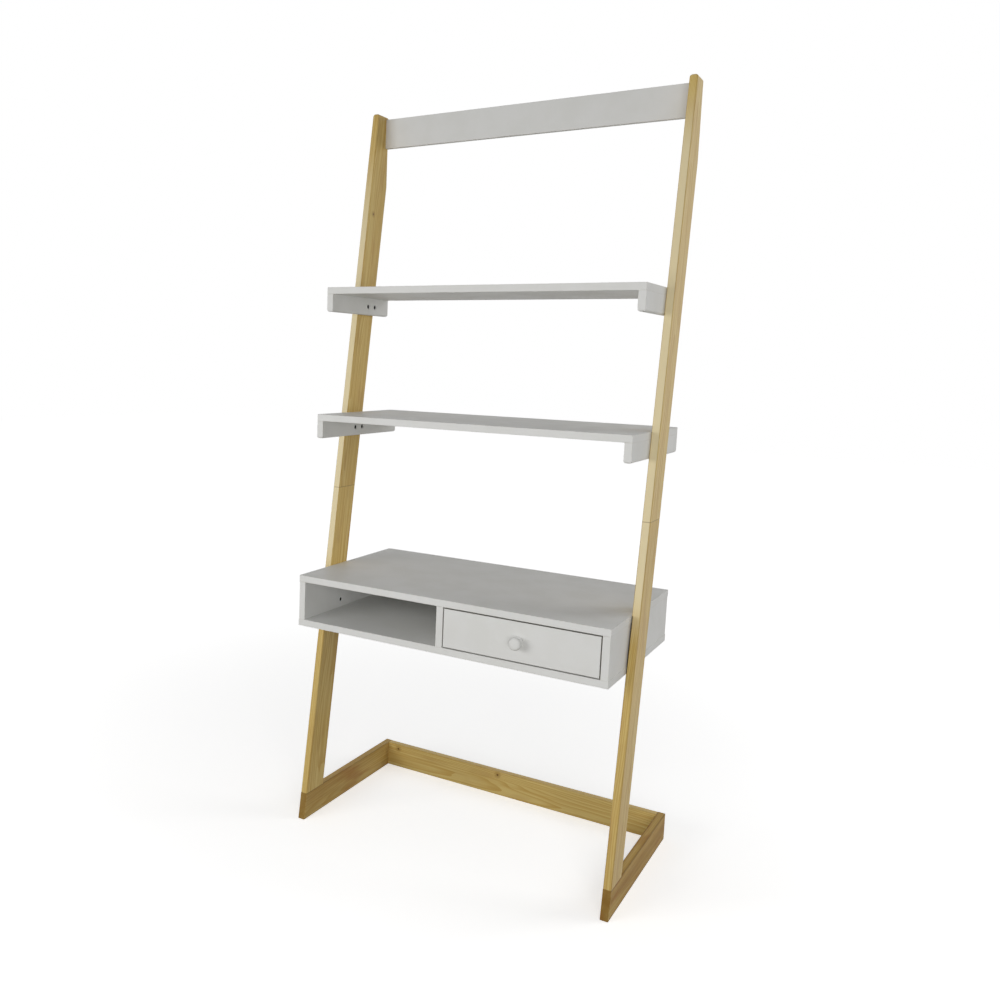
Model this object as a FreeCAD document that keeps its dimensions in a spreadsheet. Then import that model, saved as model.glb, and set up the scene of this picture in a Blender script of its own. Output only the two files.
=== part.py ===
"""Ladder desk: two leaning pine posts on foot rails, two shelves, and a desk box with a cubby and a drawer.

Frame: millimetres, +X to the user's right, +Y away from the user, +Z up.
The origin is on the floor, under the middle of the whole desk with its drawer closed.
"""
import FreeCAD, Part
import os
import Sketcher

SIZES = (
    # frame
    ("overall_width", 800, "over the outer faces of the posts"),
    ("overall_height", 1778, "floor to the top of the posts"),
    ("base_depth", 441, "foot rail, front to rear, along the floor"),
    ("lean_angle", 8.4, "posts lean back from upright, degrees"),
    ("post_width", 18, "posts and foot rails, left to right"),
    ("post_depth", 74, "posts, front to rear, square to their length"),
    ("post_top_depth", 49, "level depth left at the top by the plumb cut"),
    ("post_rounding", 3, "rounded edges of the posts"),
    ("post_end_rounding", 6, "upper ends of the posts, rounded over to left and right"),
    ("rail_rounding", 1.5, "rounded edges of the foot rails and rear rail"),
    ("foot_height", 65, "foot rails and rear rail"),
    ("rear_rail_thickness", 18, "rear rail, front to rear"),
    ("splice_height", 837, "level joint between lower and upper post"),
    ("top_rail_height", 72, "painted rail between the post tops"),
    ("top_rail_thickness", 12, "painted rail, front to rear"),
    ("top_rail_drop", 7, "rail top below post top"),
    # painted boards
    ("board_thickness", 16, "shelf, desk and cleat boards"),
    ("board_rounding", 1, "eased long edges of the boards"),
    ("upper_shelf_height", 1330, "floor to upper shelf top"),
    ("upper_shelf_depth", 260, "upper shelf, front to rear"),
    ("upper_shelf_overhang", 148, "upper shelf ahead of the posts, at its top"),
    ("lower_shelf_height", 1026, "floor to lower shelf top"),
    ("lower_shelf_depth", 350, "lower shelf, front to rear"),
    ("lower_shelf_overhang", 133, "lower shelf ahead of the posts, at its top"),
    ("cleat_height", 42, "cleat under each end of a shelf"),
    ("cleat_rounding", 5, "lower edges of the cleats"),
    ("desk_height", 640, "floor to desk top"),
    ("desk_box_height", 124, "desk box, top and bottom boards included"),
    ("desk_depth", 430, "desk box, front to rear"),
    ("desk_overhang", 136.5, "desk ahead of the posts, at its top"),
    ("side_inset", 1, "side board back from the ends of the top and bottom boards"),
    ("back_thickness", 6, "back board of the desk box"),
    ("divider_offset", 2, "divider's middle left of the desk's middle"),
    # drawer
    ("drawer_gap", 2.5, "gap round the drawer front"),
    ("drawer_front_thickness", 16, "drawer front"),
    ("drawer_board", 12, "drawer sides and back"),
    ("drawer_length", 350, "drawer sides, front to rear"),
    ("drawer_side_height", 62, "drawer sides"),
    ("drawer_lift", 12, "drawer sides above the floor of the bay"),
    ("drawer_bottom_thickness", 4, "drawer bottom board"),
    ("drawer_bottom_lift", 6, "drawer bottom above the lower edge of the sides"),
    ("groove_depth", 5, "groove that holds the drawer bottom"),
    ("groove_clearance", 0.2, "play of the drawer bottom in its groove"),
    ("knob_radius", 14.5, "knob head"),
    ("knob_projection", 25, "knob, out from the drawer front"),
    ("knob_neck_radius", 7, "neck of the knob"),
    ("knob_neck_length", 10, "from the drawer front to the underside of the head"),
    ("knob_rim_back", 14, "from the drawer front to the back of the head's rim"),
    ("knob_rim_front", 20, "from the drawer front to the bevel of the head"),
    ("knob_face_radius", 9, "flat face of the head"),
    ("knob_screw_radius", 2, "M4 screw"),
    ("knob_screw_reach", 10, "thread inside the knob"),
    ("knob_screw_head_radius", 4.2, "screw head inside the drawer"),
    ("knob_screw_head_height", 2.2, "screw head inside the drawer"),
    # runners
    ("runner_space", 12.5, "between drawer side and bay wall"),
    ("runner_steel", 1.5, "sheet of the runners"),
    ("runner_length", 350, "runner on the bay wall"),
    ("runner_setback", 2, "runner on the bay wall, behind the drawer front"),
    ("cabinet_runner_lift", 13, "runner on the bay wall, above the floor of the bay"),
    ("cabinet_flange", 10.5, "lower flange, out from the bay wall"),
    ("cabinet_lip", 8.5, "upper lip, out from the bay wall"),
    ("drawer_flange", 8.3, "upper flange, out from the drawer runner's web"),
    ("drawer_shelf", 10, "lower flange, under the drawer side"),
    ("roller_radius", 9, "nylon rollers"),
    ("roller_width", 5, "nylon rollers"),
    ("roller_wall_gap", 3.5, "bay wall to roller"),
    ("roller_inset", 12, "end of a runner to its roller's axle"),
    ("rolling_gap", 0.3, "roller to the flange that it runs on"),
    ("roller_clearance", 0.05, "roller to its axle"),
    ("roller_play", 0.3, "sideways play of a roller on its axle"),
    ("flange_gap", 0.5, "roller of the drawer to the flange above it"),
    ("lip_gap", 1, "drawer runner to the lip above it"),
    ("axle_radius", 2.5, "rivet shank that a roller turns on"),
    ("rivet_head_radius", 4, "rivet head and boss"),
    ("rivet_head_height", 1, "rivet head"),
    # fasteners
    ("bolt_radius", 3, "M6 socket bolts"),
    ("bolt_head_radius", 5, "M6 socket bolts"),
    ("bolt_head_height", 6, "M6 socket bolts"),
    ("bolt_socket_radius", 2.9, "hexagon socket, over its corners"),
    ("bolt_socket_depth", 3, "hexagon socket"),
    ("bolt_reach", 12, "bolt thread inside the post"),
    ("bolt_spacing", 32, "between the two bolts of a cleat"),
    ("desk_bolt_drop", 27, "bolt of a side board, below the middle of the desk box"),
    ("bolt_hole_clearance", 0.3, "bolt in the board that it passes through"),
    ("counterbore_radius", 6, "recess round a bolt head"),
    ("counterbore_depth", 8, "recess round a bolt head"),
    ("insert_radius", 4.5, "threaded insert in the post"),
    ("insert_length", 13, "threaded insert in the post"),
    ("frame_dowel_radius", 4, "dowels of the pine frame"),
    ("frame_dowel_reach", 20, "frame dowel into each piece"),
    ("frame_dowel_spacing", 40, "between the two dowels of a post joint"),
    ("rail_dowel_reach", 11, "rail dowel into the post or foot rail"),
    ("rear_dowel_spacing", 32, "between the two dowels at an end of the rear rail"),
    ("board_dowel_radius", 3, "dowels of the boards, the top rail and the drawer"),
    ("board_dowel_short", 9, "board dowel across a board"),
    ("board_dowel_long", 18, "board dowel along a board"),
    ("drawer_dowel_short", 7, "drawer dowel across a drawer side"),
    ("top_rail_dowel_spacing", 40, "between the two dowels at an end of the top rail"),
    ("drawer_dowel_spacing", 24, "between the two dowels of a drawer joint"),
    ("end_distance", 40, "first dowel of a board joint from the end of the board"),
    ("splice_bolt_radius", 4, "double-ended screw in the post splice"),
    ("splice_bolt_reach", 30, "double-ended screw into each post"),
    ("fit_clearance", 0.05, "pin in its hole, all round"),
    ("hole_spare", 1, "blind hole deeper than its pin"),
)

LEFT, RIGHT = -1, 1
FULL_TURN = 360
TOLERANCE = 0.001

# sides of the repeated small pieces and of the holes that hold them, which are plain polygons
PIN_SIDES = 6
HEAD_SIDES = 12
SOCKET_SIDES = 6

# places along Z, Y and X that several pieces share
LEAN = "tan(dims.lean_angle)"
POST_RUN = "dims.post_depth / cos(dims.lean_angle)"
REAR = f"((dims.base_depth + dims.desk_overhang + dims.knob_projection - dims.desk_height * {LEAN}) / 2)"
FOOT_FRONT = f"({REAR} - dims.base_depth)"
INNER = "(dims.overall_width / 2 - dims.post_width)"
POST_MIDDLE_X = "(dims.overall_width / 2 - dims.post_width / 2)"

RAIL_TOP = "(dims.overall_height - dims.top_rail_drop)"
RAIL_MIDDLE = f"({RAIL_TOP} - dims.top_rail_height / 2)"

BAY_CEILING = "(dims.desk_height - dims.board_thickness)"
BAY_FLOOR = "(dims.desk_height - dims.desk_box_height + dims.board_thickness)"
BOX_MIDDLE = "(dims.desk_height - dims.desk_box_height / 2)"
SIDE_OUTER = f"({INNER} - dims.side_inset)"
SIDE_INNER = f"({SIDE_OUTER} - dims.board_thickness)"
DIVIDER_LEFT = "(-dims.divider_offset - dims.board_thickness / 2)"
DIVIDER_RIGHT = "(-dims.divider_offset + dims.board_thickness / 2)"


def post_front(height):
    """Y of the post's front face at a height."""
    return f"({FOOT_FRONT} + {height} * {LEAN})"


def post_middle(height):
    return f"({post_front(height)} + {POST_RUN} / 2)"


PLUMB = f"({post_front('dims.overall_height')} + dims.post_top_depth)"
BEND = f"(({PLUMB} - {FOOT_FRONT} - {POST_RUN}) / {LEAN})"

DESK_FRONT = f"({post_front('dims.desk_height')} - dims.desk_overhang)"
DESK_REAR = f"({DESK_FRONT} + dims.desk_depth)"
BACK_FRONT = f"({DESK_REAR} - dims.back_thickness)"

FACE_BACK = f"({DESK_FRONT} + dims.drawer_front_thickness)"
DRAWER_LEFT = f"({DIVIDER_RIGHT} + dims.runner_space)"
DRAWER_RIGHT = f"({SIDE_INNER} - dims.runner_space)"
DRAWER_FLOOR = f"({BAY_FLOOR} + dims.drawer_lift)"
DRAWER_TOP = f"({DRAWER_FLOOR} + dims.drawer_side_height)"
DRAWER_REAR = f"({FACE_BACK} + dims.drawer_length)"
DRAWER_MIDDLE_X = f"(({DIVIDER_RIGHT} + {SIDE_INNER}) / 2)"
GROOVE_FLOOR = f"({DRAWER_FLOOR} + dims.drawer_bottom_lift)"
BACK_BOARD_FLOOR = f"({GROOVE_FLOOR} + dims.drawer_bottom_thickness)"

RUNNER_FLOOR = f"({BAY_FLOOR} + dims.cabinet_runner_lift)"
TRACK = f"({RUNNER_FLOOR} + dims.runner_steel)"
DRAWER_ROLLER_Z = f"({TRACK} + dims.rolling_gap + dims.roller_radius)"
FLANGE_UNDER = f"({DRAWER_ROLLER_Z} + dims.roller_radius + dims.flange_gap)"
CABINET_ROLLER_Z = f"({FLANGE_UNDER} - dims.rolling_gap - dims.roller_radius)"
FLANGE_TOP = f"({FLANGE_UNDER} + dims.runner_steel)"
CABINET_ROLLER_Y = f"({FACE_BACK} + dims.runner_setback + dims.roller_inset)"
DRAWER_ROLLER_Y = f"({DRAWER_REAR} - dims.roller_inset)"

doc = FreeCAD.newDocument("LadderDesk")
dims = doc.addObject("Spreadsheet::Sheet", "dims")
nodes = []


def fill_sheet():
    for row, (alias, size, note) in enumerate(SIZES, start=1):
        dims.set(f"A{row}", alias)
        dims.set(f"B{row}", str(size))
        dims.set(f"C{row}", note)
        dims.setAlias(f"B{row}", alias)
    doc.recompute()


def number(expression):
    """The present value of an expression, for the first position of a sketch's geometry."""
    return float(dims.evalExpression(expression))


# ---------------------------------------------------------------- sketches and features

def new_body(name):
    body = doc.addObject("PartDesign::Body", name)
    body.Label = name
    nodes.append(body)
    return body


def new_sketch(body, role, offset):
    """A sketch on one of the body's origin planes, moved along the plane's normal."""
    plane = [item for item in body.Origin.OriginFeatures if item.Role == role][0]
    sketch = body.newObject("Sketcher::SketchObject", body.Name + "_sketch")
    sketch.AttachmentSupport = [(plane, "")]
    sketch.MapMode = "FlatFace"
    sketch.setExpression("AttachmentOffset.Base.z", offset)
    return sketch


def tie(sketch, kind, first, place, expression):
    """Bind one coordinate of a sketch point, measured from the sketch's origin."""
    index = sketch.addConstraint(Sketcher.Constraint(kind, -1, 1, first, place, number(expression)))
    sketch.setExpression(f"Constraints[{index}]", expression)


def add_outline(sketch, corners):
    """A closed outline of straight lines, with both coordinates of every corner bound."""
    points = [FreeCAD.Vector(number(across), number(up), 0) for across, up in corners]
    first = sketch.GeometryCount
    count = len(corners)
    for index in range(count):
        sketch.addGeometry(Part.LineSegment(points[index], points[(index + 1) % count]), False)
    for index in range(count):
        following = first + (index + 1) % count
        sketch.addConstraint(Sketcher.Constraint("Coincident", first + index, 2, following, 1))
    for index, (across, up) in enumerate(corners):
        tie(sketch, "DistanceX", first + index, 1, across)
        tie(sketch, "DistanceY", first + index, 1, up)


def add_circle(sketch, across, up, radius):
    middle = FreeCAD.Vector(number(across), number(up), 0)
    circle = sketch.addGeometry(Part.Circle(middle, FreeCAD.Vector(0, 0, 1), number(radius)), False)
    tie(sketch, "DistanceX", circle, 3, across)
    tie(sketch, "DistanceY", circle, 3, up)
    index = sketch.addConstraint(Sketcher.Constraint("Radius", circle, number(radius)))
    sketch.setExpression(f"Constraints[{index}]", radius)


def polygon(across, up, radius, sides):
    """Corners of a regular polygon on a circle, the first of them straight across."""
    turns = [index * FULL_TURN / sides for index in range(sides)]
    return [(f"{across} + ({radius}) * cos({turn})", f"{up} + ({radius}) * sin({turn})") for turn in turns]


def rectangle(left, right, low, high):
    return ((left, low), (right, low), (right, high), (left, high))


def pad(body, role, offset, corners, length):
    sketch = new_sketch(body, role, offset)
    add_outline(sketch, corners)
    feature = body.newObject("PartDesign::Pad", body.Name + "_pad")
    feature.Profile = sketch
    feature.setExpression("Length", length)
    doc.recompute()
    return feature


def cut(body, sketch, depth, along_normal):
    """A pocket that starts at the sketch and runs with or against its normal."""
    before = body.Shape.Volume
    feature = body.newObject("PartDesign::Pocket", body.Name + "_pocket")
    feature.Profile = sketch
    feature.Reversed = along_normal
    feature.setExpression("Length", depth)
    doc.recompute()
    if body.Shape.Volume >= before:
        raise RuntimeError(f"{feature.Label} cuts nothing")


def drill(body, role, offset, centres, radius, depth, along_normal, sides=PIN_SIDES):
    """Holes for pins: polygons with the same sides as the pins that they hold."""
    sketch = new_sketch(body, role, offset)
    for across, up in centres:
        add_outline(sketch, polygon(across, up, radius, sides))
    cut(body, sketch, depth, along_normal)


def revolve(body, corners):
    """A turned piece: corners are (radius, distance along Y)."""
    sketch = new_sketch(body, "XY_Plane", "0")
    add_outline(sketch, corners)
    feature = body.newObject("PartDesign::Revolution", body.Name + "_turning")
    feature.Profile = sketch
    feature.ReferenceAxis = (sketch, ["V_Axis"])
    feature.Angle = FULL_TURN
    doc.recompute()


def round_edges(body, radius, wanted):
    """Fillet the edges of the body for which wanted(edge) is true."""
    names = [f"Edge{index}" for index, edge in enumerate(body.Shape.Edges, start=1) if wanted(edge)]
    if not names:
        raise RuntimeError(f"{body.Label} has no edge to round")
    base = body.Tip
    feature = body.newObject("PartDesign::Fillet", body.Name + "_rounding")
    feature.Base = (base, names)
    feature.setExpression("Radius", radius)
    doc.recompute()


def direction(edge):
    return (edge.Vertexes[-1].Point - edge.Vertexes[0].Point).normalize()


def is_straight(edge):
    return isinstance(edge.Curve, Part.Line)


def is_across(edge):
    """A straight edge from left to right."""
    return is_straight(edge) and abs(direction(edge).x) > 1 - TOLERANCE


def is_lengthwise(edge):
    """A straight edge that lies in a plane from front to rear."""
    return is_straight(edge) and abs(direction(edge).x) < TOLERANCE


def is_rising(edge):
    """A straight edge in such a plane that climbs more than it runs back."""
    return is_lengthwise(edge) and abs(direction(edge).z) > abs(direction(edge).y)


def is_level_lengthwise(edge):
    """A straight edge in such a plane that runs back more than it climbs."""
    return is_lengthwise(edge) and not is_rising(edge)


def on_floor(edge):
    return edge.BoundBox.ZMax < TOLERANCE


# ---------------------------------------------------------------- loose pins, bolts and inserts

# each turn also brings a prism's first corner to where a sketch's polygon has its own
TURNS = {
    "X": FreeCAD.Rotation(FreeCAD.Vector(1, 1, 1), FULL_TURN / 3),
    "Y": FreeCAD.Rotation(FreeCAD.Vector(1, 0, 0), -FULL_TURN / 4),
    "Z": FreeCAD.Rotation(),
}


def place_along(item, axis, start):
    item.Placement = FreeCAD.Placement(FreeCAD.Vector(), TURNS[axis])
    for letter, expression in zip("xyz", start):
        item.setExpression(f"Placement.Base.{letter}", expression)


def rod(name, axis, start, length, radius):
    """A cylinder that starts at a point and runs along +X, +Y or +Z."""
    item = doc.addObject("Part::Cylinder", name)
    item.setExpression("Radius", radius)
    item.setExpression("Height", length)
    place_along(item, axis, start)
    return item


def pin(name, axis, start, length, radius, sides=PIN_SIDES):
    """A prism that starts at a point and runs along +X, +Y or +Z."""
    item = doc.addObject("Part::Prism", name)
    item.Polygon = sides
    item.setExpression("Circumradius", radius)
    item.setExpression("Height", length)
    place_along(item, axis, start)
    return item


def side_start(side, near, far):
    """X where a piece starts that runs between two distances from the middle plane."""
    return near if side == RIGHT else f"-({far})"


def group(name, members):
    """Like pieces that share one node, each a solid of its own."""
    item = doc.addObject("Part::Compound", name)
    item.Label = name
    item.Links = members
    nodes.append(item)


def bolt_recess(inner):
    """Distance from the middle plane to the floor of the recess in a board's inner face."""
    return f"({inner} + dims.counterbore_depth)"


def socket_bolt(name, side, inner, y, z):
    """M6 socket bolt from a recess in a board's inner face, outwards into the post."""
    seat = bolt_recess(inner)
    head_near = f"({seat} - dims.bolt_head_height)"
    tip = f"({INNER} + dims.bolt_reach)"
    head = pin(name + "_head", "X", (side_start(side, head_near, seat), y, z),
               "dims.bolt_head_height", "dims.bolt_head_radius", HEAD_SIDES)
    shank = pin(name + "_shank", "X", (side_start(side, seat, tip), y, z),
                f"{tip} - {seat}", "dims.bolt_radius")
    solid = doc.addObject("Part::Fuse", name + "_blank")
    solid.Base = head
    solid.Tool = shank
    socket_far = f"({head_near} + dims.bolt_socket_depth)"
    socket = pin(name + "_socket", "X", (side_start(side, head_near, socket_far), y, z),
                 "dims.bolt_socket_depth", "dims.bolt_socket_radius", SOCKET_SIDES)
    bolt = doc.addObject("Part::Cut", name)
    bolt.Base = solid
    bolt.Tool = socket
    return bolt


def threaded_insert(name, side, y, z):
    """Sleeve let into the post's inner face, with the bolt's thread inside."""
    start = side_start(side, INNER, f"{INNER} + dims.insert_length")
    sleeve = doc.addObject("Part::Cut", name)
    sleeve.Base = pin(name + "_wall", "X", (start, y, z), "dims.insert_length", "dims.insert_radius")
    sleeve.Tool = pin(name + "_bore", "X", (start, y, z), "dims.insert_length",
                      "dims.bolt_radius + dims.fit_clearance")
    return sleeve


# ---------------------------------------------------------------- pine frame

SIDE_NAMES = {LEFT: "left", RIGHT: "right"}
FRAME_HOLE = "dims.frame_dowel_radius + dims.fit_clearance"
BOARD_HOLE = "dims.board_dowel_radius + dims.fit_clearance"
SPLICE_HOLE = "dims.splice_bolt_radius + dims.fit_clearance"
INSERT_HOLE = "dims.insert_radius + dims.fit_clearance"


def pair(middle, spacing):
    return [f"({middle} - {spacing} / 2)", f"({middle} + {spacing} / 2)"]


def post_dowel_centres(side, height):
    """Two dowels beside the middle of the post's section at a level joint."""
    x = f"{side} * {POST_MIDDLE_X}"
    return [(x, y) for y in pair(post_middle(height), "dims.frame_dowel_spacing")]


def rear_dowel_centres():
    y = f"({REAR} - dims.rear_rail_thickness / 2)"
    return [(y, z) for z in pair("dims.foot_height / 2", "dims.rear_dowel_spacing")]


def top_rail_dowel_centres():
    y = f"({PLUMB} - dims.top_rail_thickness / 2)"
    return [(y, z) for z in pair(RAIL_MIDDLE, "dims.top_rail_dowel_spacing")]


def shelf_bolt_centres(shelf):
    z = f"(dims.{shelf}_height - dims.board_thickness - dims.cleat_height / 2)"
    return [(y, z) for y in pair(post_middle(z), "dims.bolt_spacing")]


DESK_BOLT_HEIGHT = f"({BOX_MIDDLE} - dims.desk_bolt_drop)"
DESK_BOLT = (post_middle(DESK_BOLT_HEIGHT), DESK_BOLT_HEIGHT)
PIN_HEIGHT = "(dims.desk_height - dims.board_thickness / 2)"
DESK_PIN = (post_middle(PIN_HEIGHT), PIN_HEIGHT)


def foot_rail(side):
    """Foot rail: its front end carries on the lean of the post that stands on it."""
    body = new_body(f"{SIDE_NAMES[side]}_foot_rail")
    corners = (
        (FOOT_FRONT, "0"),
        (REAR, "0"),
        (REAR, "dims.foot_height"),
        (post_front("dims.foot_height"), "dims.foot_height"),
    )
    pad(body, "YZ_Plane", side_start(side, INNER, "dims.overall_width / 2"), corners, "dims.post_width")
    round_edges(body, "dims.rail_rounding", lambda edge: is_lengthwise(edge) and not on_floor(edge))
    drill(body, "XY_Plane", "dims.foot_height", post_dowel_centres(side, "dims.foot_height"),
          FRAME_HOLE, "dims.frame_dowel_reach + dims.hole_spare", False)
    drill(body, "YZ_Plane", f"{side} * {INNER}", rear_dowel_centres(),
          FRAME_HOLE, "dims.rail_dowel_reach + dims.hole_spare", side == RIGHT)


def rear_foot_rail():
    body = new_body("rear_foot_rail")
    corners = rectangle(f"{REAR} - dims.rear_rail_thickness", REAR, "0", "dims.foot_height")
    pad(body, "YZ_Plane", f"-{INNER}", corners, f"2 * {INNER}")
    round_edges(body, "dims.rail_rounding", lambda edge: is_across(edge) and not on_floor(edge))
    for side in (LEFT, RIGHT):
        drill(body, "YZ_Plane", f"{side} * {INNER}", rear_dowel_centres(),
              FRAME_HOLE, "dims.frame_dowel_reach + dims.hole_spare", side == LEFT)


def splice_holes(body, side, upwards):
    """Two dowel holes and one screw hole in the level end of a post at the splice."""
    drill(body, "XY_Plane", "dims.splice_height", post_dowel_centres(side, "dims.splice_height"),
          FRAME_HOLE, "dims.frame_dowel_reach + dims.hole_spare", upwards)
    middle = [(f"{side} * {POST_MIDDLE_X}", post_middle("dims.splice_height"))]
    drill(body, "XY_Plane", "dims.splice_height", middle,
          SPLICE_HOLE, "dims.splice_bolt_reach + dims.hole_spare", upwards)


def lower_post(side):
    """Lower half of a post: a leaning board with level ends."""
    body = new_body(f"{SIDE_NAMES[side]}_lower_post")
    low, high = "dims.foot_height", "dims.splice_height"
    corners = (
        (post_front(low), low),
        (f"{post_front(low)} + {POST_RUN}", low),
        (f"{post_front(high)} + {POST_RUN}", high),
        (post_front(high), high),
    )
    pad(body, "YZ_Plane", side_start(side, INNER, "dims.overall_width / 2"), corners, "dims.post_width")
    round_edges(body, "dims.post_rounding", is_rising)
    drill(body, "XY_Plane", low, post_dowel_centres(side, low),
          FRAME_HOLE, "dims.frame_dowel_reach + dims.hole_spare", True)
    splice_holes(body, side, False)
    drill(body, "YZ_Plane", f"{side} * {INNER}", [DESK_BOLT],
          INSERT_HOLE, "dims.insert_length + dims.hole_spare", side == RIGHT)
    drill(body, "YZ_Plane", f"{side} * {INNER}", [DESK_PIN],
          BOARD_HOLE, "dims.board_dowel_short + dims.hole_spare", side == RIGHT)


def upper_post(side):
    """Upper half of a post: the rear of its head is cut plumb and its top end is rounded over."""
    body = new_body(f"{SIDE_NAMES[side]}_upper_post")
    low, high = "dims.splice_height", "dims.overall_height"
    corners = (
        (post_front(low), low),
        (f"{post_front(low)} + {POST_RUN}", low),
        (PLUMB, BEND),
        (PLUMB, high),
        (post_front(high), high),
    )
    pad(body, "YZ_Plane", side_start(side, INNER, "dims.overall_width / 2"), corners, "dims.post_width")
    splice = number("dims.splice_height")
    end = number(high)
    round_edges(body, "dims.post_end_rounding",
                lambda edge: is_lengthwise(edge) and edge.BoundBox.ZMin > end - TOLERANCE)
    round_edges(body, "dims.post_rounding",
                lambda edge: edge.BoundBox.ZMax > splice + TOLERANCE and not is_level_lengthwise(edge))
    splice_holes(body, side, True)
    shelf_bolts = shelf_bolt_centres("upper_shelf") + shelf_bolt_centres("lower_shelf")
    drill(body, "YZ_Plane", f"{side} * {INNER}", shelf_bolts,
          INSERT_HOLE, "dims.insert_length + dims.hole_spare", side == RIGHT)
    drill(body, "YZ_Plane", f"{side} * {INNER}", top_rail_dowel_centres(),
          BOARD_HOLE, "dims.rail_dowel_reach + dims.hole_spare", side == RIGHT)


def top_rail():
    """Painted rail between the post tops, its back flush with the plumb cuts."""
    body = new_body("top_rail")
    corners = rectangle(f"{PLUMB} - dims.top_rail_thickness", PLUMB,
                        f"{RAIL_TOP} - dims.top_rail_height", RAIL_TOP)
    pad(body, "YZ_Plane", f"-{INNER}", corners, f"2 * {INNER}")
    round_edges(body, "dims.board_rounding", is_across)
    for side in (LEFT, RIGHT):
        drill(body, "YZ_Plane", f"{side} * {INNER}", top_rail_dowel_centres(),
              BOARD_HOLE, "dims.board_dowel_long + dims.hole_spare", side == LEFT)


def frame_dowels():
    """Upright dowels in the foot joints and the splices, level dowels in the rails."""
    reach = "dims.frame_dowel_reach"
    for name, height in (("foot_dowels", "dims.foot_height"), ("splice_dowels", "dims.splice_height")):
        members = []
        for side in (LEFT, RIGHT):
            for x, y in post_dowel_centres(side, height):
                start = (x, y, f"{height} - {reach}")
                members.append(pin(name + "_pin", "Z", start, f"2 * {reach}", "dims.frame_dowel_radius"))
        group(name, members)
    rails = (
        ("rear_rail_dowels", rear_dowel_centres(), reach, "dims.frame_dowel_radius"),
        ("top_rail_dowels", top_rail_dowel_centres(), "dims.board_dowel_long", "dims.board_dowel_radius"),
    )
    for name, centres, rail_reach, radius in rails:
        near, far = f"({INNER} - {rail_reach})", f"({INNER} + dims.rail_dowel_reach)"
        members = [
            pin(name + "_pin", "X", (side_start(side, near, far), y, z), f"{far} - {near}", radius)
            for side in (LEFT, RIGHT)
            for y, z in centres
        ]
        group(name, members)


def splice_bolts():
    """One double-ended screw in the middle of each post splice."""
    reach = "dims.splice_bolt_reach"
    members = []
    for side in (LEFT, RIGHT):
        middle = post_middle("dims.splice_height")
        start = (f"{side} * {POST_MIDDLE_X}", middle, f"dims.splice_height - {reach}")
        members.append(pin("splice_bolt", "Z", start, f"2 * {reach}", "dims.splice_bolt_radius"))
    group("splice_bolts", members)


# ---------------------------------------------------------------- shelves

CLEAT_INNER = f"({INNER} - dims.board_thickness)"
CLEAT_MIDDLE_X = f"({INNER} - dims.board_thickness / 2)"


def shelf_front(shelf):
    return f"({post_front(f'dims.{shelf}_height')} - dims.{shelf}_overhang)"


def shelf_dowel_rows(shelf):
    """Y of the two dowels between a shelf board and a cleat, one at each end of the cleat."""
    front = shelf_front(shelf)
    return [f"({front} + dims.end_distance)", f"({front} + dims.{shelf}_depth - dims.end_distance)"]


def shelf_panel(shelf):
    body = new_body(f"{shelf}_panel")
    front = shelf_front(shelf)
    top = f"dims.{shelf}_height"
    under = f"({top} - dims.board_thickness)"
    corners = rectangle(front, f"{front} + dims.{shelf}_depth", under, top)
    pad(body, "YZ_Plane", f"-{INNER}", corners, f"2 * {INNER}")
    round_edges(body, "dims.board_rounding", is_across)
    centres = [(f"{side} * {CLEAT_MIDDLE_X}", y) for side in (LEFT, RIGHT) for y in shelf_dowel_rows(shelf)]
    drill(body, "XY_Plane", under, centres, BOARD_HOLE, "dims.board_dowel_short + dims.hole_spare", True)


def shelf_cleat(shelf, side):
    """Cleat under one end of a shelf, bolted through to the post."""
    body = new_body(f"{shelf}_{SIDE_NAMES[side]}_cleat")
    front = shelf_front(shelf)
    top = f"(dims.{shelf}_height - dims.board_thickness)"
    corners = rectangle(front, f"{front} + dims.{shelf}_depth", f"{top} - dims.cleat_height", top)
    pad(body, "YZ_Plane", side_start(side, CLEAT_INNER, INNER), corners, "dims.board_thickness")
    low = number(f"{top} - dims.cleat_height / 2")
    round_edges(body, "dims.cleat_rounding", lambda edge: edge.BoundBox.ZMax < low)
    centres = [(f"{side} * {CLEAT_MIDDLE_X}", y) for y in shelf_dowel_rows(shelf)]
    drill(body, "XY_Plane", top, centres, BOARD_HOLE, "dims.board_dowel_long + dims.hole_spare", False)
    bolt_holes(body, side, CLEAT_INNER, shelf_bolt_centres(shelf))


def bolt_holes(body, side, inner, centres):
    """Through holes with round recesses in a board's inner face."""
    offset = f"{side} * {inner}"
    drill(body, "YZ_Plane", offset, centres,
          "dims.bolt_radius + dims.bolt_hole_clearance", "dims.board_thickness", side == RIGHT)
    drill(body, "YZ_Plane", offset, centres,
          "dims.counterbore_radius", "dims.counterbore_depth", side == RIGHT, HEAD_SIDES)


def shelf_fasteners(shelf):
    dowels, bolts, inserts = [], [], []
    joint = f"(dims.{shelf}_height - dims.board_thickness)"
    for side in (LEFT, RIGHT):
        for y in shelf_dowel_rows(shelf):
            start = (f"{side} * {CLEAT_MIDDLE_X}", y, f"{joint} - dims.board_dowel_long")
            dowels.append(pin(f"{shelf}_pin", "Z", start,
                              "dims.board_dowel_short + dims.board_dowel_long", "dims.board_dowel_radius"))
        for y, z in shelf_bolt_centres(shelf):
            bolts.append(socket_bolt(f"{shelf}_bolt", side, CLEAT_INNER, y, z))
            inserts.append(threaded_insert(f"{shelf}_insert", side, y, z))
    group(f"{shelf}_dowels", dowels)
    group(f"{shelf}_bolts", bolts)
    group(f"{shelf}_inserts", inserts)


# ---------------------------------------------------------------- desk box

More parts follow.
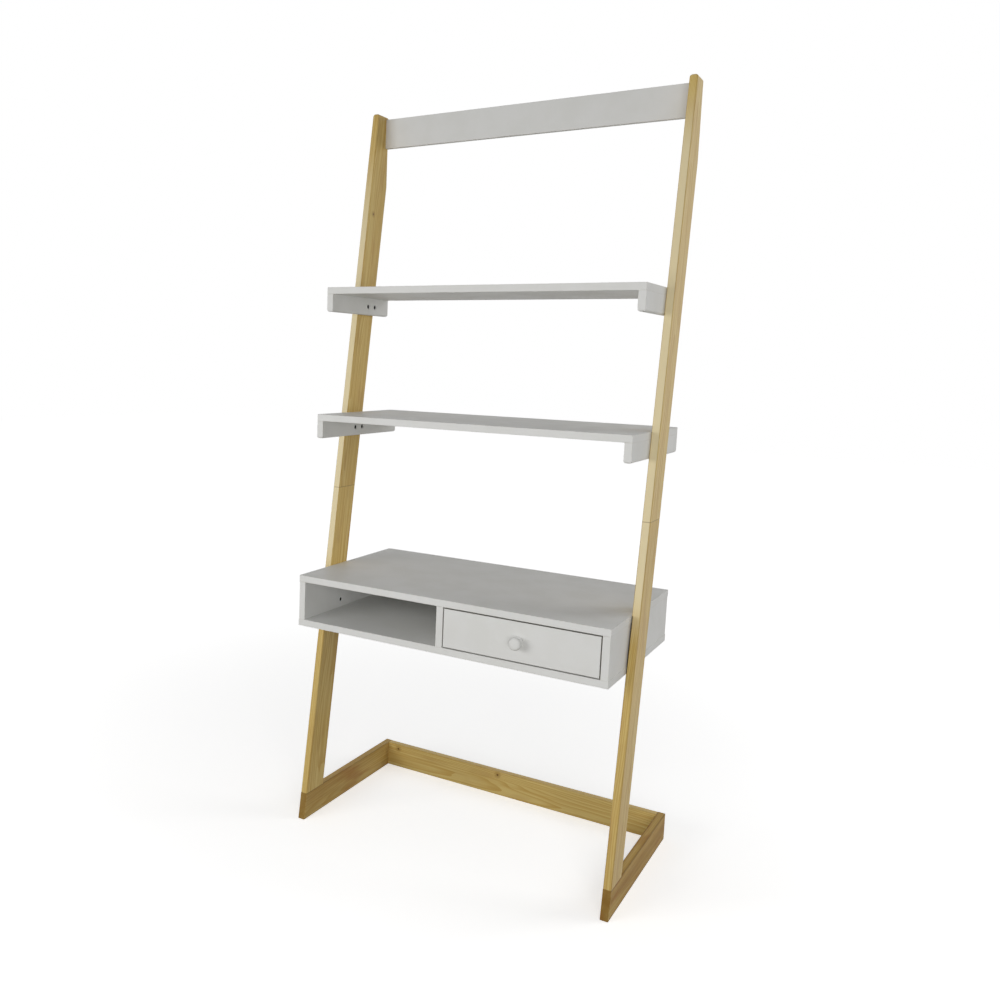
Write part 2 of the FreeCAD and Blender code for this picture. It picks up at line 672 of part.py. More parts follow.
def upright_middles():
    """X of the middle of each upright board of the desk box."""
    return [f"-({SIDE_INNER} + dims.board_thickness / 2)", "-dims.divider_offset",
            f"({SIDE_INNER} + dims.board_thickness / 2)"]


def desk_dowel_rows():
    return [f"({DESK_FRONT} + dims.end_distance)", f"({BACK_FRONT} - dims.end_distance)"]


def desk_board(name, low, high, joint, upwards):
    """Top or bottom board of the desk box, with dowel holes in the face towards the uprights."""
    body = new_body(name)
    pad(body, "YZ_Plane", f"-{INNER}", rectangle(DESK_FRONT, DESK_REAR, low, high), f"2 * {INNER}")
    round_edges(body, "dims.board_rounding", is_across)
    centres = [(x, y) for x in upright_middles() for y in desk_dowel_rows()]
    drill(body, "XY_Plane", joint, centres, BOARD_HOLE, "dims.board_dowel_short + dims.hole_spare", upwards)
    return body


def desk_top_panel():
    body = desk_board("desk_top_panel", BAY_CEILING, "dims.desk_height", BAY_CEILING, True)
    for side in (LEFT, RIGHT):
        drill(body, "YZ_Plane", f"{side} * {INNER}", [DESK_PIN],
              BOARD_HOLE, "dims.board_dowel_long + dims.hole_spare", side == LEFT)


def desk_bottom_panel():
    desk_board("desk_bottom_panel", "dims.desk_height - dims.desk_box_height", BAY_FLOOR, BAY_FLOOR, False)


def desk_upright(name, left, rear):
    """Side board or divider, doweled into the top and bottom boards."""
    body = new_body(name)
    pad(body, "YZ_Plane", left, rectangle(DESK_FRONT, rear, BAY_FLOOR, BAY_CEILING), "dims.board_thickness")
    centres = [(f"{left} + dims.board_thickness / 2", y) for y in desk_dowel_rows()]
    depth = "dims.board_dowel_long + dims.hole_spare"
    drill(body, "XY_Plane", BAY_FLOOR, centres, BOARD_HOLE, depth, True)
    drill(body, "XY_Plane", BAY_CEILING, centres, BOARD_HOLE, depth, False)
    return body


def desk_uprights():
    for side in (LEFT, RIGHT):
        left = side_start(side, SIDE_INNER, SIDE_OUTER)
        body = desk_upright(f"desk_{SIDE_NAMES[side]}_side", left, DESK_REAR)
        bolt_holes(body, side, SIDE_INNER, [DESK_BOLT])
    desk_upright("desk_divider", DIVIDER_LEFT, BACK_FRONT)


def desk_back_panel():
    body = new_body("desk_back_panel")
    corners = rectangle(BACK_FRONT, DESK_REAR, BAY_FLOOR, BAY_CEILING)
    pad(body, "YZ_Plane", f"-{SIDE_INNER}", corners, f"2 * {SIDE_INNER}")


def desk_fasteners():
    length = "dims.board_dowel_short + dims.board_dowel_long"
    dowels = []
    for x in upright_middles():
        for y in desk_dowel_rows():
            for start in (f"{BAY_FLOOR} - dims.board_dowel_short", f"{BAY_CEILING} - dims.board_dowel_long"):
                dowels.append(pin("desk_pin", "Z", (x, y, start), length, "dims.board_dowel_radius"))
    group("desk_dowels", dowels)
    bolts, inserts, pins = [], [], []
    near, far = f"({INNER} - dims.board_dowel_long)", f"({INNER} + dims.board_dowel_short)"
    for side in (LEFT, RIGHT):
        bolts.append(socket_bolt("desk_bolt", side, SIDE_INNER, *DESK_BOLT))
        inserts.append(threaded_insert("desk_insert", side, *DESK_BOLT))
        start = (side_start(side, near, far), *DESK_PIN)
        pins.append(pin("desk_end_pin", "X", start, length, "dims.board_dowel_radius"))
    group("desk_bolts", bolts)
    group("desk_inserts", inserts)
    group("desk_locating_dowels", pins)


# ---------------------------------------------------------------- drawer

DRAWER_DOWEL_MIDDLE = f"(({BACK_BOARD_FLOOR} + {DRAWER_TOP}) / 2)"
DRAWER_DOWEL_HEIGHTS = pair(DRAWER_DOWEL_MIDDLE, "dims.drawer_dowel_spacing")
BACK_DOWEL_Y = f"({DRAWER_REAR} - dims.drawer_board / 2)"
SIDE_BOARDS = (("left", DRAWER_LEFT, RIGHT), ("right", f"({DRAWER_RIGHT} - dims.drawer_board)", LEFT))
GROOVE_TOP = f"{GROOVE_FLOOR} + dims.drawer_bottom_thickness + dims.groove_clearance"


def drawer_front():
    """Inset front, with the groove for the bottom, the dowel holes and the knob's screw hole."""
    body = new_body("drawer_front")
    left, right = f"{DIVIDER_RIGHT} + dims.drawer_gap", f"{SIDE_INNER} - dims.drawer_gap"
    corners = rectangle(left, right, f"{BAY_FLOOR} + dims.drawer_gap", f"{BAY_CEILING} - dims.drawer_gap")
    pad(body, "XZ_Plane", f"-{FACE_BACK}", corners, "dims.drawer_front_thickness")
    face = number(DESK_FRONT)
    round_edges(body, "dims.board_rounding", lambda edge: edge.BoundBox.YMax < face + TOLERANCE)
    groove = new_sketch(body, "XZ_Plane", f"-{FACE_BACK}")
    inner_left = f"{DRAWER_LEFT} + dims.drawer_board - dims.groove_depth"
    inner_right = f"{DRAWER_RIGHT} - dims.drawer_board + dims.groove_depth"
    add_outline(groove, rectangle(inner_left, inner_right, GROOVE_FLOOR, GROOVE_TOP))
    cut(body, groove, "dims.groove_depth", True)
    middles = [f"{start} + dims.drawer_board / 2" for _, start, _ in SIDE_BOARDS]
    centres = [(x, z) for x in middles for z in DRAWER_DOWEL_HEIGHTS]
    drill(body, "XZ_Plane", f"-{FACE_BACK}", centres,
          BOARD_HOLE, "dims.board_dowel_short + dims.hole_spare", True)
    drill(body, "XZ_Plane", f"-{FACE_BACK}", [(DRAWER_MIDDLE_X, BOX_MIDDLE)],
          "dims.knob_screw_radius + dims.bolt_hole_clearance", "dims.drawer_front_thickness", True)


def drawer_sides():
    """Side boards: grooved inside, doweled to the front and to the back board."""
    for name, start, inwards in SIDE_BOARDS:
        body = new_body(f"drawer_{name}_side")
        corners = rectangle(FACE_BACK, DRAWER_REAR, DRAWER_FLOOR, DRAWER_TOP)
        pad(body, "YZ_Plane", start, corners, "dims.drawer_board")
        inner = f"({start} + dims.drawer_board)" if inwards == RIGHT else start
        groove = new_sketch(body, "YZ_Plane", inner)
        add_outline(groove, rectangle(FACE_BACK, DRAWER_REAR, GROOVE_FLOOR, GROOVE_TOP))
        cut(body, groove, "dims.groove_depth", inwards == LEFT)
        middle = f"{start} + dims.drawer_board / 2"
        drill(body, "XZ_Plane", f"-{FACE_BACK}", [(middle, z) for z in DRAWER_DOWEL_HEIGHTS],
              BOARD_HOLE, "dims.board_dowel_long + dims.hole_spare", False)
        drill(body, "YZ_Plane", inner, [(BACK_DOWEL_Y, z) for z in DRAWER_DOWEL_HEIGHTS],
              BOARD_HOLE, "dims.drawer_dowel_short + dims.hole_spare", inwards == LEFT)


def drawer_back():
    """Back board between the sides, standing on the drawer bottom."""
    body = new_body("drawer_back")
    left, right = f"({DRAWER_LEFT} + dims.drawer_board)", f"({DRAWER_RIGHT} - dims.drawer_board)"
    corners = rectangle(f"{DRAWER_REAR} - dims.drawer_board", DRAWER_REAR, BACK_BOARD_FLOOR, DRAWER_TOP)
    pad(body, "YZ_Plane", left, corners, f"{right} - {left}")
    centres = [(BACK_DOWEL_Y, z) for z in DRAWER_DOWEL_HEIGHTS]
    depth = "dims.board_dowel_long + dims.hole_spare"
    drill(body, "YZ_Plane", left, centres, BOARD_HOLE, depth, True)
    drill(body, "YZ_Plane", right, centres, BOARD_HOLE, depth, False)


def drawer_bottom():
    body = new_body("drawer_bottom")
    play = "dims.groove_clearance"
    reach = f"dims.drawer_board - dims.groove_depth + {play}"
    left, right = f"({DRAWER_LEFT} + {reach})", f"({DRAWER_RIGHT} - ({reach}))"
    front = f"({FACE_BACK} - dims.groove_depth + {play})"
    corners = rectangle(left, right, front, DRAWER_REAR)
    pad(body, "XY_Plane", GROOVE_FLOOR, corners, "dims.drawer_bottom_thickness")


def drawer_dowels():
    members = []
    for _, start, inwards in SIDE_BOARDS:
        middle = f"{start} + dims.drawer_board / 2"
        inner = f"({start} + dims.drawer_board)" if inwards == RIGHT else start
        short, long = "dims.drawer_dowel_short", "dims.board_dowel_long"
        back_start = f"{inner} - {short}" if inwards == RIGHT else f"{inner} - {long}"
        for z in DRAWER_DOWEL_HEIGHTS:
            members.append(pin("drawer_front_pin", "Y", (middle, f"{FACE_BACK} - dims.board_dowel_short", z),
                               f"dims.board_dowel_short + {long}", "dims.board_dowel_radius"))
            members.append(pin("drawer_back_pin", "X", (back_start, BACK_DOWEL_Y, z),
                               f"{short} + {long}", "dims.board_dowel_radius"))
    group("drawer_dowels", members)


def drawer_knob():
    """Turned mushroom knob: a straight neck and a bevelled head, with a blind screw hole."""
    body = new_body("drawer_knob")
    corners = (
        ("0", "0"),
        ("dims.knob_neck_radius", "0"),
        ("dims.knob_neck_radius", "-dims.knob_neck_length"),
        ("dims.knob_radius", "-dims.knob_rim_back"),
        ("dims.knob_radius", "-dims.knob_rim_front"),
        ("dims.knob_face_radius", "-dims.knob_projection"),
        ("0", "-dims.knob_projection"),
    )
    revolve(body, corners)
    drill(body, "XZ_Plane", "0", [("0", "0")],
          "dims.knob_screw_radius + dims.fit_clearance", "dims.knob_screw_reach + dims.hole_spare", True)
    body.setExpression("Placement.Base.x", DRAWER_MIDDLE_X)
    body.setExpression("Placement.Base.y", DESK_FRONT)
    body.setExpression("Placement.Base.z", BOX_MIDDLE)


def drawer_knob_screw():
    """M4 screw from inside the drawer, through the front and into the knob."""
    length = "(dims.drawer_front_thickness + dims.knob_screw_reach)"
    screw = doc.addObject("Part::Fuse", "drawer_knob_screw")
    screw.Label = "drawer_knob_screw"
    screw.Base = pin("knob_screw_head", "Y", (DRAWER_MIDDLE_X, FACE_BACK, BOX_MIDDLE),
                     "dims.knob_screw_head_height", "dims.knob_screw_head_radius", HEAD_SIDES)
    screw.Tool = pin("knob_screw_shank", "Y", (DRAWER_MIDDLE_X, f"{FACE_BACK} - {length}", BOX_MIDDLE),
                     length, "dims.knob_screw_radius")
    nodes.append(screw)


# ---------------------------------------------------------------- runners

RUNNER_WALLS = (("left", DIVIDER_RIGHT, RIGHT), ("right", SIDE_INNER, LEFT))


def off_wall(wall, inwards, distance):
    """X at a distance from a bay wall, towards the drawer."""
    return f"({wall} + {inwards} * ({distance}))"


def steel_section(body, wall, inwards, section, rear, length):
    """A folded strip: section corners are (distance off the wall, height)."""
    corners = [(off_wall(wall, inwards, distance), height) for distance, height in section]
    pad(body, "XZ_Plane", f"-{rear}", corners, length)


def cabinet_runner(name, wall, inwards):
    """Channel on the bay wall: a track below for the drawer's roller and a lip above."""
    steel = "dims.runner_steel"
    lip_under = f"({FLANGE_TOP} + dims.lip_gap)"
    lip_top = f"({lip_under} + {steel})"
    section = (
        ("0", RUNNER_FLOOR),
        ("dims.cabinet_flange", RUNNER_FLOOR),
        ("dims.cabinet_flange", TRACK),
        (steel, TRACK),
        (steel, lip_under),
        ("dims.cabinet_lip", lip_under),
        ("dims.cabinet_lip", lip_top),
        ("0", lip_top),
    )
    rear = f"({FACE_BACK} + dims.runner_setback + dims.runner_length)"
    steel_section(new_body(f"{name}_cabinet_runner"), wall, inwards, section, rear, "dims.runner_length")


def drawer_runner(name, wall, inwards):
    """Angle on the drawer side: a shelf under its lower edge and a flange that rides the front roller."""
    steel = "dims.runner_steel"
    web = f"(dims.runner_space - {steel})"
    shelf_under = f"({DRAWER_FLOOR} - {steel})"
    section = (
        (web, shelf_under),
        ("dims.runner_space + dims.drawer_shelf", shelf_under),
        ("dims.runner_space + dims.drawer_shelf", DRAWER_FLOOR),
        ("dims.runner_space", DRAWER_FLOOR),
        ("dims.runner_space", FLANGE_TOP),
        (f"{web} - dims.drawer_flange", FLANGE_TOP),
        (f"{web} - dims.drawer_flange", FLANGE_UNDER),
        (web, FLANGE_UNDER),
    )
    body = new_body(f"{name}_drawer_runner")
    steel_section(body, wall, inwards, section, DRAWER_REAR, "dims.drawer_length")


def roller(name, wall, inwards, y, z):
    """Nylon roller that turns on its rivet."""
    body = new_body(name)
    far = "dims.roller_wall_gap + dims.roller_width"
    left = off_wall(wall, inwards, "dims.roller_wall_gap" if inwards == RIGHT else far)
    sketch = new_sketch(body, "YZ_Plane", left)
    add_circle(sketch, y, z, "dims.roller_radius")
    add_circle(sketch, y, z, "dims.axle_radius + dims.roller_clearance")
    feature = body.newObject("PartDesign::Pad", name + "_pad")
    feature.Profile = sketch
    feature.setExpression("Length", "dims.roller_width")
    doc.recompute()


def rivet(name, wall, inwards, y, z, shank, heads):
    """Shouldered rivet: the shank and both heads are each (distance off the wall, next distance)."""
    steps = []
    for near, far in (shank, *heads):
        start = (off_wall(wall, inwards, near if inwards == RIGHT else far), y, z)
        length = f"({far}) - ({near})"
        if (near, far) == shank:
            steps.append(rod(name + "_shank", "X", start, length, "dims.axle_radius"))
        else:
            steps.append(pin(name + "_head", "X", start, length, "dims.rivet_head_radius", HEAD_SIDES))
    solid = doc.addObject("Part::MultiFuse", name)
    solid.Shapes = steps
    return solid


def rollers_and_rivets():
    """A front roller on each bay wall and a rear roller on each side of the drawer."""
    roller_near = "(dims.roller_wall_gap - dims.roller_play)"
    roller_far = "(dims.roller_wall_gap + dims.roller_width + dims.roller_play)"
    web = "(dims.runner_space - dims.runner_steel)"
    cabinet_heads = (
        ("dims.runner_steel", roller_near),
        (roller_far, f"{roller_far} + dims.rivet_head_height"),
    )
    drawer_heads = (
        (roller_far, web),
        (f"{roller_near} - dims.rivet_head_height", roller_near),
    )
    kinds = (
        ("cabinet", CABINET_ROLLER_Y, CABINET_ROLLER_Z, cabinet_heads),
        ("drawer", DRAWER_ROLLER_Y, DRAWER_ROLLER_Z, drawer_heads),
    )
    shank = (roller_near, roller_far)
    for kind, y, z, heads in kinds:
        rivets = []
        for name, wall, inwards in RUNNER_WALLS:
            roller(f"{name}_{kind}_roller", wall, inwards, y, z)
            rivets.append(rivet(f"{name}_{kind}_rivet", wall, inwards, y, z, shank, heads))
        group(f"{kind}_roller_rivets", rivets)


# ---------------------------------------------------------------- whole desk

def build_frame():
    for side in (LEFT, RIGHT):
        foot_rail(side)
        lower_post(side)
        upper_post(side)
    rear_foot_rail()
    top_rail()
    frame_dowels()
    splice_bolts()


def build_shelves():
    for shelf in ("upper_shelf", "lower_shelf"):
        shelf_panel(shelf)
        for side in (LEFT, RIGHT):
            shelf_cleat(shelf, side)
        shelf_fasteners(shelf)


def build_desk_box():
    desk_top_panel()
    desk_bottom_panel()
    desk_uprights()
    desk_back_panel()
    desk_fasteners()


def build_drawer():
    drawer_front()
    drawer_sides()
    drawer_back()
    drawer_bottom()
    drawer_dowels()
    drawer_knob()
    drawer_knob_screw()


def build_runners():
    for name, wall, inwards in RUNNER_WALLS:
        cabinet_runner(name, wall, inwards)
        drawer_runner(name, wall, inwards)
    rollers_and_rivets()


def check_and_write():
    doc.recompute()
    for item in doc.Objects:
        if "Invalid" in item.State or "Error" in item.State:
            raise RuntimeError(f"{item.Name} failed: {item.State}")
    for node in nodes:
        if node.Shape.isNull() or not node.Shape.isValid() or not node.Shape.Solids:
            raise RuntimeError(f"{node.Label} has no valid solid")
    os.makedirs("parts", exist_ok=True)
    for node in nodes:
        node.Shape.exportStep(f"parts/{node.Label}.step")
    print(len(nodes), "nodes written")


fill_sheet()
build_frame()
build_shelves()
build_desk_box()
build_drawer()
build_runners()
check_and_write()
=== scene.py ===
"""Ladder desk: its pine, paint and metal, its turned knob, and a plain studio."""

import math
from collections import namedtuple
from functools import partial

import bmesh
import bpy
from mathutils import Euler, Matrix, Vector


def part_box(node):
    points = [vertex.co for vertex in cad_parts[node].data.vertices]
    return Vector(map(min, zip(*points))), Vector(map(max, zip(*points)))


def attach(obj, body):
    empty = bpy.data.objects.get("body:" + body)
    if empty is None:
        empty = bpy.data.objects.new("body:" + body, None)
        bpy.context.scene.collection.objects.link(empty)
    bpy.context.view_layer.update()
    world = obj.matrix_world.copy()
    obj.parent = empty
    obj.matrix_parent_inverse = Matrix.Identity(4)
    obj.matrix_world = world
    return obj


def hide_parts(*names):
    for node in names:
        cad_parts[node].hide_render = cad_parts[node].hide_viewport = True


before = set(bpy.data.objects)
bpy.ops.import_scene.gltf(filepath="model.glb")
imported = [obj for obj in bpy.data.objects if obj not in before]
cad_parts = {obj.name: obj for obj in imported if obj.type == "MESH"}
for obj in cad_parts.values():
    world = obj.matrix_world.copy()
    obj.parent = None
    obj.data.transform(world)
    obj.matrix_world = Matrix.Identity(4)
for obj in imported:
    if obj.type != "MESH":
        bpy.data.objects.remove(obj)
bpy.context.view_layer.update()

bl_info = {
    "name": "Ladder desk",
    "version": (1, 0, 0),
    "blender": (4, 5, 0),
    "location": "3D View > Sidebar > Ladder desk",
    "description": "Finishes a leaning desk in pine and white paint, and sets it in a plain studio",
    "category": "Object",
}

MM = 0.001

# How far the posts lean back, and how deep they are square to that.
LEAN = math.radians(8.4)
POST_DEPTH = 74 * MM

# How a piece lies: the turn that brings its own length, drawn along Z, to where it is.
LEANING = (-LEAN, 0, 0)
SIDE_TO_SIDE = (0, math.pi / 2, 0)
FRONT_TO_BACK = (-math.pi / 2, 0, 0)

# Heights in mm of the level joints of a post: on its foot rail, and under its upper length.
FOOT_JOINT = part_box("left_foot_rail")[1][2] / MM
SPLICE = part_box("left_upper_post")[0][2] / MM

# A length of pine, in mm: how it lies, where the pith of its tree is from the middle of its
# section, a number that sets its grain apart, how dark it is from 0 to 1, the heights of its
# joints, its small knots, and the painted highlight on its narrow faces.
Cut = namedtuple("Cut", "lie pith number tone joints knots sap", defaults=((), (), None))
Knot = namedtuple("Knot", "x y z radius")
# Heights in mm between which a painted highlight, standing for the lacquer's sheen, comes in,
# and between which it goes again.
Sap = namedtuple("Sap", "comes full fades gone")

LOWER_HIGHLIGHT = Sap(comes=560, full=700, fades=900, gone=1000)

CUTS = {
    "left_lower_post": Cut(
        lie=LEANING, pith=(-46, 18), number=1, tone=0.15, joints=(FOOT_JOINT, SPLICE), sap=LOWER_HIGHLIGHT
    ),
    "left_upper_post": Cut(
        lie=LEANING, pith=(-38, -30), number=2, tone=0.2, joints=(SPLICE,),
        knots=(Knot(x=-382, y=62, z=1528, radius=3.5),),
        sap=Sap(comes=700, full=800, fades=1450, gone=1750),
    ),
    "right_lower_post": Cut(
        lie=LEANING, pith=(52, 10), number=3, tone=0.2, joints=(FOOT_JOINT, SPLICE), sap=LOWER_HIGHLIGHT
    ),
    "right_upper_post": Cut(
        lie=LEANING, pith=(44, -22), number=4, tone=0.1, joints=(SPLICE,),
        sap=Sap(comes=700, full=800, fades=1600, gone=1780),
    ),
    "left_foot_rail": Cut(lie=FRONT_TO_BACK, pith=(-40, 24), number=5, tone=0.6),
    "right_foot_rail": Cut(lie=FRONT_TO_BACK, pith=(48, 30), number=6, tone=0.9),
    "rear_foot_rail": Cut(
        lie=SIDE_TO_SIDE, pith=(16, 44), number=7, tone=0.1,
        knots=(Knot(x=-350, y=236, z=52, radius=4), Knot(x=-42, y=236, z=55, radius=4)),
    ),
}

PAINTED = (
    "top_rail",
    "upper_shelf_panel",
    "upper_shelf_left_cleat",
    "upper_shelf_right_cleat",
    "lower_shelf_panel",
    "lower_shelf_left_cleat",
    "lower_shelf_right_cleat",
    "desk_top_panel",
    "desk_bottom_panel",
    "desk_left_side",
    "desk_right_side",
    "desk_divider",
    "drawer_front",
    "drawer_left_side",
    "drawer_right_side",
    "drawer_back",
)

# Where a lamp stands, what it faces, and how wide and high it is, in metres.
Lamp = namedtuple("Lamp", "place target width height")

LAMPS = {
    "key": Lamp(place=(-1.3, -2.4, 1.15), target=(0, 0, 0.9), width=1.7, height=1.0),
    "fill": Lamp(place=(1.4, -2.5, 1.0), target=(0, 0, 0.8), width=1.3, height=1.3),
    "side": Lamp(place=(2.1, 1.3, 1.5), target=(0.2, 0, 0.9), width=1.3, height=1.3),
}

# Steps of the knob's turning, before it is smoothed.
KNOB_STEPS = 48

# How far the floor reaches each way in metres, and how wide the camera's sensor is in mm.
FLOOR_REACH = 12
SENSOR = 36

WHITE = (1, 1, 1, 1)

# Settings of a node that eases a value from one range to another, and of one that blends colours.
EASED = {"interpolation_type": "SMOOTHSTEP"}
RGBA = {"data_type": "RGBA"}

# A colour laid over another, in a pattern: the pattern's low and high levels, and how much of
# the colour shows at each of them.
Coat = namedtuple("Coat", "pattern low high at_low at_high colour")


def linear(hex_colour):
    """A colour written as sRGB, such as "#D9C08C", as linear red, green and blue."""
    parts = [int(hex_colour[i : i + 2], 16) / 255 for i in (1, 3, 5)]
    return tuple(c / 12.92 if c <= 0.04045 else ((c + 0.055) / 1.055) ** 2.4 for c in parts)


def colour(name, description, hex_colour):
    """A colour that a user would change."""
    return bpy.props.FloatVectorProperty(
        name=name, description=description, subtype="COLOR",
        size=3, min=0, max=1, default=linear(hex_colour),
    )


def length(name, description, mm):
    """A length that a user would change, in metres, with its default in mm."""
    return bpy.props.FloatProperty(
        name=name, description=description, subtype="DISTANCE", unit="LENGTH",
        min=0, precision=4, default=mm * MM,
    )


def share(name, description, value):
    """A number from 0 to 1 that a user would change."""
    return bpy.props.FloatProperty(
        name=name, description=description, subtype="FACTOR", min=0, max=1, default=value
    )


def turn(name, description, degrees):
    """An angle that a user would change, with its default in degrees."""
    return bpy.props.FloatProperty(
        name=name, description=description, subtype="ANGLE", default=math.radians(degrees)
    )


def power(name, description, watts):
    """The power of a lamp, in watts."""
    return bpy.props.FloatProperty(
        name=name, description=description, subtype="POWER", unit="POWER", min=0, default=watts
    )


class PineFinish(bpy.types.PropertyGroup):
    early: colour("Early wood", "Pale wood between the growth lines", "#E9D087")
    late: colour("Late wood", "Amber growth lines", "#C69B45")
    # Painted highlight: a pale colour on the posts' narrow faces that stands for the lacquer's sheen.
    sap: colour("Painted highlight", "Pale streaks on the narrow faces of the posts", "#F4E5BC")
    heart: colour("Heartwood", "Tone towards which a darker length turns", "#9C7230")
    resin: colour("Resin", "Reddish patches where resin gathered under the lacquer", "#A2662E")
    end: colour("End grain", "Sawn ends, which drink the lacquer", "#866529")
    edge: colour("Edges", "Darker edges and joint lines", "#7A5A28")
    knot: colour("Knots", "Middle of a small knot", "#5A3A1C")
    # Painted shadow: a dark line for the gap between the desk box and a post.
    shadow: colour("Contact", "Painted shadow of the gap where the desk box meets a post", "#2E2517")
    ring: length("Growth ring", "Width of one year's growth", 3.2)
    fibre: length("Fibre", "Width of a streak of fibres; real ones are finer and wouldn't show", 1.1)
    figure: length("Figure", "Width of a broad streak, where the saw met several rings at once", 7)


class PaintFinish(bpy.types.PropertyGroup):
    white: colour("White", "Satin white paint", "#ECECEA")
    shade: colour("Thin paint", "Cloudy places where the paint is thinner", "#E5E5E1")
    worn: colour("Worn edge", "Edges that hands have rubbed", "#D6D3C9")
    # Painted shade: the drawer front's narrow sides are darkened for the shadow in the gap round the
    # drawer.
    gap_shade: colour("Drawer gap shade", "Painted shade of the gap, on the drawer front's narrow sides", "#8F8B80")
    stipple: length("Stipple", "Grain that the roller leaves; a real one is finer and wouldn't show", 1.6)
    roughness: share("Roughness", "Satin, neither gloss nor matt", 0.48)


class BoardFinish(bpy.types.PropertyGroup):
    face: colour("Faced side", "White lacquered side of the hardboard", "#C6C3B8")
    dull: colour("Thin lacquer", "Cloudy places on the faced side", "#BDB9AC")
    back: colour("Raw side", "Brown pressed fibre on the far side", "#8F6B45")
    fleck: colour("Dark fibre", "Darker fibres on the far side", "#6F5033")
    fibre: length("Fibre", "Size of the pressed fibres", 2.2)


class HardwareFinish(bpy.types.PropertyGroup):
    coated: colour("Coated steel", "Stoved coating of the runners", "#DEDAD0")
    nylon: colour("Nylon", "Moulded rollers", "#E6E4DA")
    bright: colour("Bright steel", "Rivets", "#C6C7C8")
    black: colour("Black steel", "Oiled bolts and the knob's screw", "#2A2A2B")
    zinc: colour("Zinc", "Plated threaded inserts", "#B7B3A4")
    beech: colour("Beech", "Dowels", "#C7A072")


class KnobShape(bpy.types.PropertyGroup):
    foot: length("Foot radius", "Where the knob meets the drawer front", 12.5)
    neck: length("Neck radius", "Narrowest place", 7.5)
    rim: length("Rim radius", "Widest place", 14.2)
    projection: length("Projection", "Out from the drawer front", 25)


class Studio(bpy.types.PropertyGroup):
    place: bpy.props.FloatVectorProperty(
        name="Camera", description="Where the camera stands", subtype="TRANSLATION", unit="LENGTH",
        size=3, default=(0.9424, -2.1061, 1.1667),
    )
    heading: turn("Heading", "Turn of the camera to the left of straight ahead", 32.33)
    dip: turn("Dip", "How far the camera looks down", 7.12)
    roll: turn("Roll", "Tilt of the camera about its own line", 1.61)
    lens: bpy.props.FloatProperty(
        name="Lens", description=f"Focal length on a {SENSOR} mm sensor",
        subtype="DISTANCE_CAMERA", default=34.93,
    )
    shift: bpy.props.FloatVectorProperty(
        name="Shift", description="Shift of the lens, as a share of the picture",
        size=2, default=(0.1498, -0.0224),
    )
    key: power("Key lamp", "Power of the wide soft lamp at the front left", 24)
    fill: power("Fill lamp", "Power of the soft lamp at the front right", 21)
    side: power("Side lamp", "Power of the soft lamp at the right", 15)
    sky: share("Ambient", "Light that comes from all round", 0.25)
    paper: colour("Floor", "Grey of the floor as it lights the desk", "#9A9890")
    shown: colour("Floor in view", "White of the floor as it is seen", "#F9F9F9")
    tuft: colour("Paper fibre", "Darker fibres of the floor's paper", "#B0B0B0")


def add_node(tree, kind, settings=None, inputs=()):
    """Adds a node with its inputs, by name or in order, and returns its first output in use."""
    node = tree.nodes.new("ShaderNode" + kind)
    for name, value in (settings or {}).items():
        setattr(node, name, value)
    used = [socket for socket in node.inputs if socket.enabled]
    if isinstance(inputs, dict):
        used = [next(socket for socket in used if socket.name == name) for name in inputs]
        inputs = inputs.values()
    for socket, value in zip(used, inputs):
        if isinstance(value, bpy.types.NodeSocket):
            tree.links.new(value, socket)
        else:
            socket.default_value = value
    return next((output for output in node.outputs if output.enabled), None)


def new_material(name):
    """An empty material, and a short way to add a node to it."""
    material = bpy.data.materials.new(name)
    material.use_nodes = True
    material.node_tree.nodes.clear()
    return material, partial(add_node, material.node_tree)


def opaque(rgb):
    """A colour as a node takes it, with nothing showing through."""
    return (*rgb, 1)


def give(node, material):
    """The CAD piece shows that material all over."""
    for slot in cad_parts[node].material_slots:
        slot.material = material


def give_by_ending(materials):
    """Each CAD piece shows the material of its name's ending."""
    for ending, material in materials.items():
        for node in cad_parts:
            if node.endswith(ending):
                give(node, material)


def middle(node):
    """The middle of a CAD piece's box."""
    low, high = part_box(node)
    return (Vector(low) + Vector(high)) / 2


def half_size(node):
    """Half the size of a CAD piece's box each way."""
    low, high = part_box(node)
    return (Vector(high) - Vector(low)) / 2


def coated(add, ground, *coats):
    """The ground colour with each coat laid over it in turn."""
    for *levels, tint in coats:
        shown = add("MapRange", EASED, levels)
        ground = add("Mix", RGBA, (shown, ground, opaque(tint)))
    return ground


def streaks(add, place, grain, number, detail=2.0):
    """Noise whose grains are that size in metres each way, set apart by number."""
    fineness = tuple(1 / size for size in grain)
    apart = (7.3 * number, 3.1 * number, 5.7 * number)
    scaled = add("VectorMath", {"operation": "MULTIPLY_ADD"}, (place, fineness, apart))
    return add("TexNoise", None, {"Vector": scaled, "Scale": 1.0, "Detail": detail, "Roughness": 0.55})


def squarely(add, normal, direction):
    """1 where a face is square to direction, either way round, and 0 where it lies along it."""
    facing = add("VectorMath", {"operation": "DOT_PRODUCT"}, (normal, direction))
    return add("Math", {"operation": "ABSOLUTE"}, (facing,))


def near_edge(add, place, half, width):
    """1 on the edges of a piece of that half size about the middle, falling to 0 over width."""
    close = []
    for axis, reach in zip(add("SeparateXYZ", None, (place,)).node.outputs, half):
        away = add("Math", {"operation": "ABSOLUTE"}, (axis,))
        close.append(add("MapRange", EASED, (away, reach - width, reach)))
    if len(close) == 2:
        return add("Math", {"operation": "MULTIPLY"}, close)
    # On a face one of the three is 1, on an edge two are, and on a corner all.
    total = add("Math", {"operation": "ADD"}, close[:2])
    total = add("Math", {"operation": "ADD"}, (total, close[2]))
    return add("Math", {"operation": "SUBTRACT", "use_clamp": True}, (total, 1.0))


